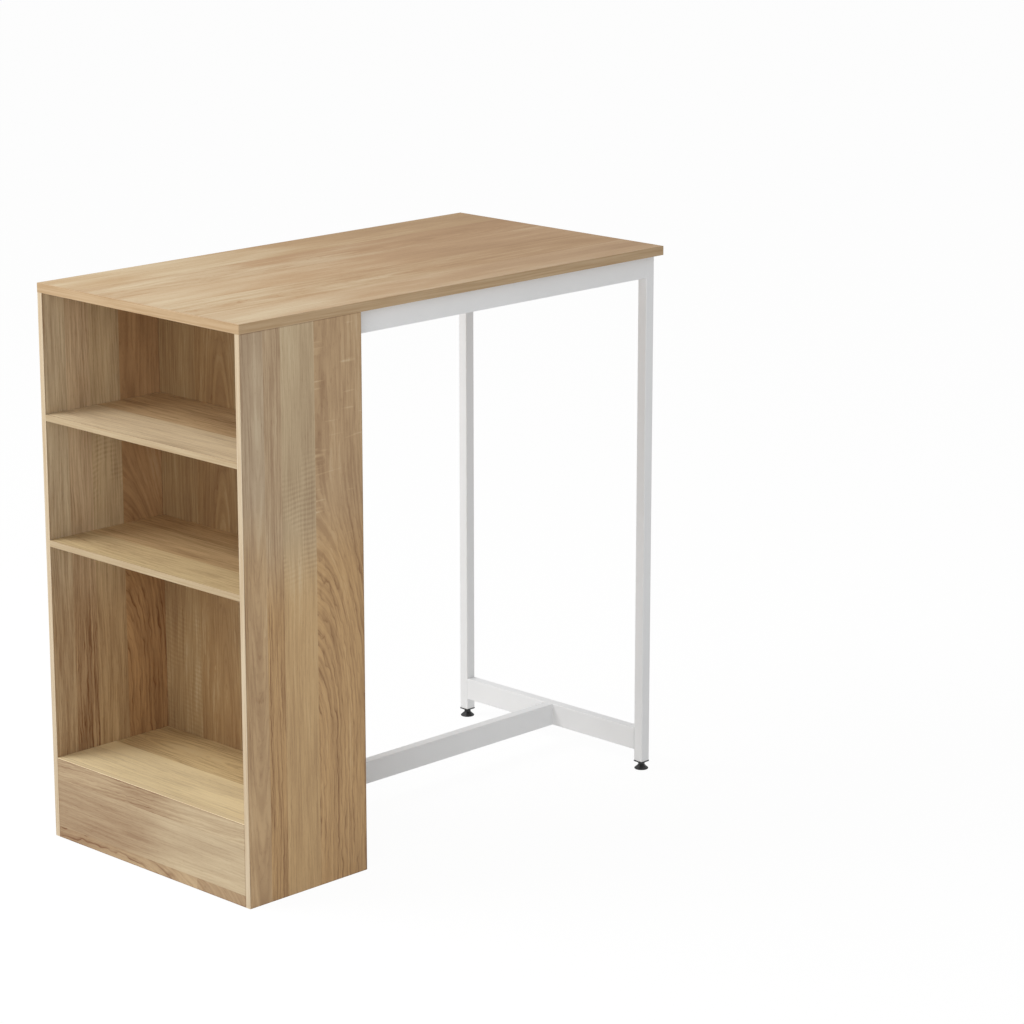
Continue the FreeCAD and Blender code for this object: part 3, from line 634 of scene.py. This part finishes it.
# Stud: an M8 screw with a rolled thread, a hexagon collar and a disc for the pad
# the thread's radius falls from crest to root as the height in pitches, less the share of the turn,
# nears a whole number; the collar's is the distance to the side of a hexagon, cut to a circle at both ends
# crest and flanks are shares of a pitch, collarRound the circle's radius as a share of the flats'
stud = dict(
    radius=4.0, pitch=1.25, threadDepth=0.6, crest=0.15, flanks=0.7, point=1.0, rowsPerPitch=10,
    discTop=5.4, discRadius=6.0, collarFoot=9.7, collarTop=12.7, collarFlats=12.0, collarEase=0.5,
    collarRound=1.04,
)


def studPiece(name, node):
    discFoot, tip = [mm * corner[2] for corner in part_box(node)]
    sixth = math.pi / 3
    flatRadius = stud["collarFlats"] / 2
    hexagon = flatRadius / np.cos(turn % sixth - sixth / 2)
    eased = np.minimum(hexagon, flatRadius * stud["collarRound"])
    rows = [
        (discFoot, stud["discRadius"]),
        (stud["discTop"], stud["discRadius"]),
        (stud["discTop"], stud["radius"]),
        (stud["collarFoot"], stud["radius"]),
        (stud["collarFoot"], eased),
        (stud["collarFoot"] + stud["collarEase"], hexagon),
        (stud["collarTop"] - stud["collarEase"], hexagon),
        (stud["collarTop"], eased),
    ]
    threadStart = len(rows)
    threadEnd = tip - stud["point"]
    steps = int((threadEnd - stud["collarTop"]) / stud["pitch"] * stud["rowsPerPitch"])
    for height in np.linspace(stud["collarTop"], threadEnd, steps):
        phase = (height / stud["pitch"] - turn / (2 * math.pi)) % 1
        fall = np.clip((np.abs(2 * phase - 1) - stud["crest"]) / stud["flanks"], 0, 1)
        rows.append((height, stud["radius"] - stud["threadDepth"] * fall))
    rows.append((tip, stud["radius"] - stud["point"]))
    turnedPiece(name, node, rows, (threadStart, len(rows) - 1), "blackZincPlate")


# Pad: a moulded bell with a rounded rim, hollow below, and a socket for the stud's disc
# the rim is an arc from under the pad to its shoulder; from there the flank's radius shrinks to the neck
# as a power of the share of the height that is left
pad = dict(
    rimRound=1.2, rimRows=10, shoulder=45, flank=1.1, flankRows=14, neckRadius=6.6, neckFoot=8.9,
    neckEase=0.3, recessRadius=9.0, recessDepth=0.8, lipRadius=4.08, socketRadius=6.08, socketFoot=2.72,
    socketTop=5.48,
)


def padPiece(name, node):
    low, high = [mm * np.array(corner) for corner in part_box(node)]
    middleRim = (high[0] - low[0]) / 2 - pad["rimRound"]
    rows = [(pad["recessDepth"], pad["recessRadius"]), (0.0, pad["recessRadius"] + pad["recessDepth"])]
    rimStart = len(rows)
    for angle in np.radians(np.linspace(-90, pad["shoulder"], pad["rimRows"])):
        height = pad["rimRound"] * (1 + math.sin(angle))
        rows.append((height, middleRim + pad["rimRound"] * math.cos(angle)))
    shoulderHeight, shoulderRadius = rows[-1]
    for left in np.linspace(1, 0, pad["flankRows"])[1:]:
        height = pad["neckFoot"] - (pad["neckFoot"] - shoulderHeight) * left
        radius = pad["neckRadius"] + (shoulderRadius - pad["neckRadius"]) * left ** pad["flank"]
        rows.append((height, radius))
    flankEnd = len(rows) - 1
    rows += [
        (high[2] - pad["neckEase"], pad["neckRadius"]),
        (high[2], pad["neckRadius"] - pad["neckEase"]),
        (high[2], pad["lipRadius"]),
        (pad["socketTop"], pad["lipRadius"]),
        (pad["socketTop"], pad["socketRadius"]),
        (pad["socketFoot"], pad["socketRadius"]),
    ]
    turnedPiece(name, node, rows, (rimStart, flankEnd), "blackPolypropylene")


for end in ("front", "rear"):
    studPiece(end + "_threaded_stud", end + "_foot_stud")
    padPiece(end + "_bell_pad", end + "_foot_pad")
print("levelling feet turned")
